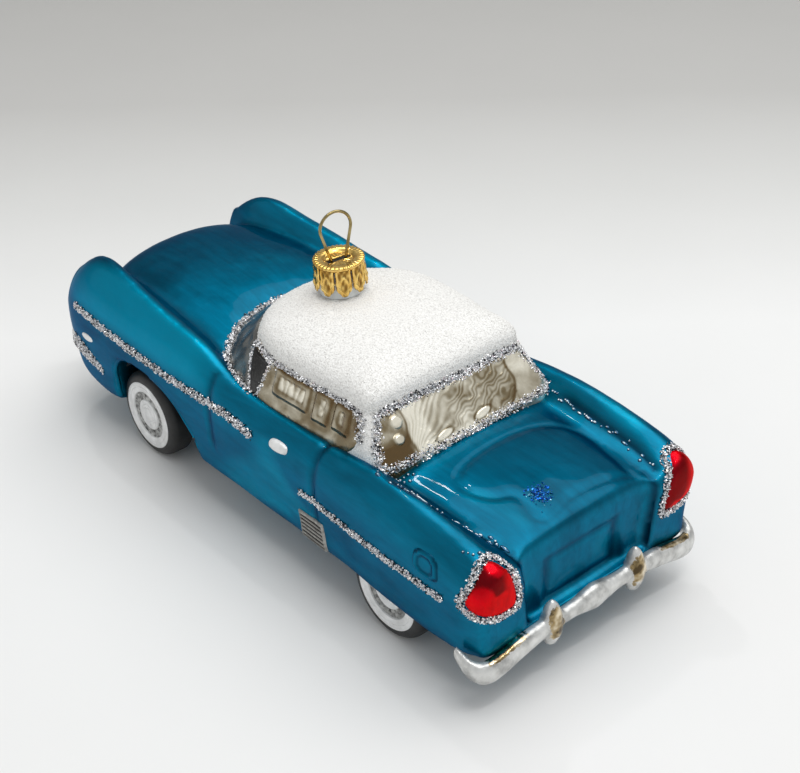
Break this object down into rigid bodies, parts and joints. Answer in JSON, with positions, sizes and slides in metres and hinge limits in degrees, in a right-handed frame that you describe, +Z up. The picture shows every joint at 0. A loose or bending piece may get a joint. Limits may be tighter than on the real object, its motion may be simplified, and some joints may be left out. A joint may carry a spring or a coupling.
{
  "type": "blown glass car ornament",
  "caption": "Hanging ornament of blown, silvered and lacquered glass in the form of a 1950s family car, with a gold crown cap and a wire loop.",
  "frame": {"origin": "on the surface it stands on, below the middle of its length and width", "axes": "+X to the car's nose, +Y to the car's left side, +Z up"},
  "size_m": [0.1421, 0.0582, 0.063],
  "materials": {
    "blue_lacquer": "transparent blue lacquer over silvered glass, glossy",
    "dark_silver": "bare silvered glass, dark",
    "silver_glass": "bare silvered glass with moulded relief",
    "clear_glass": "bare blown glass",
    "white_grain": "white painted glass with a fine grain of glitter",
    "gold_metal": "gold-coloured stamped sheet, polished",
    "wire_metal": "dull gold-coloured spring wire",
    "black_paint": "satin black painted glass",
    "white_paint": "silvery white painted glass",
    "silver_paint": "silver painted glass, half matte",
    "glitter": "silver glitter grains in glue",
    "red_lacquer": "transparent red lacquer over silvered glass"
  },
  "bodies": {
    "glass": {"windshield": "dark_silver", "rear_window": "silver_glass", "side_window_left": "silver_glass", "side_window_right": "silver_glass", "neck": "clear_glass", "roof": "white_grain", "wheel_pan_left": "black_paint", "wheel_pan_right": "black_paint", "body_shell": "blue_lacquer", "tyre_front_left": "black_paint", "wheel_disc_front_left": "white_paint", "tyre_front_right": "black_paint", "wheel_disc_front_right": "white_paint", "tyre_rear_left": "black_paint", "wheel_disc_rear_left": "white_paint", "tyre_rear_right": "black_paint", "wheel_disc_rear_right": "white_paint", "front_bumper": "silver_paint", "rear_bumper": "silver_paint", "front_line_left": "glitter", "rear_line_left": "glitter", "side_vent_left": "silver_paint", "tail_lamp_left": "red_lacquer", "door_handle_left": "silver_paint", "front_line_right": "glitter", "rear_line_right": "glitter", "side_vent_right": "silver_paint", "tail_lamp_right": "red_lacquer", "door_handle_right": "silver_paint", "fuel_flap": "blue_lacquer", "headlamp_left": "silver_paint", "headlamp_right": "silver_paint", "grille": "silver_paint"},
    "cap": {"cap": "gold_metal"},
    "hanger": {"hanger": "wire_metal"}
  },
  "joints": [
    {"name": "cap_turn", "type": "hinge", "parent": "glass", "child": "cap", "pos_m": [-0.00146, 0.00052, 0.05251], "axis": [0.0135, 0.0506, 0.9986], "continuous": true},
    {"name": "hanger_tilt", "type": "hinge", "parent": "cap", "child": "hanger", "pos_m": [-0.00146, 0.00052, 0.05251], "axis": [0.1733, 0.9835, -0.0521], "range_deg": [-15, 15]}
  ]
}
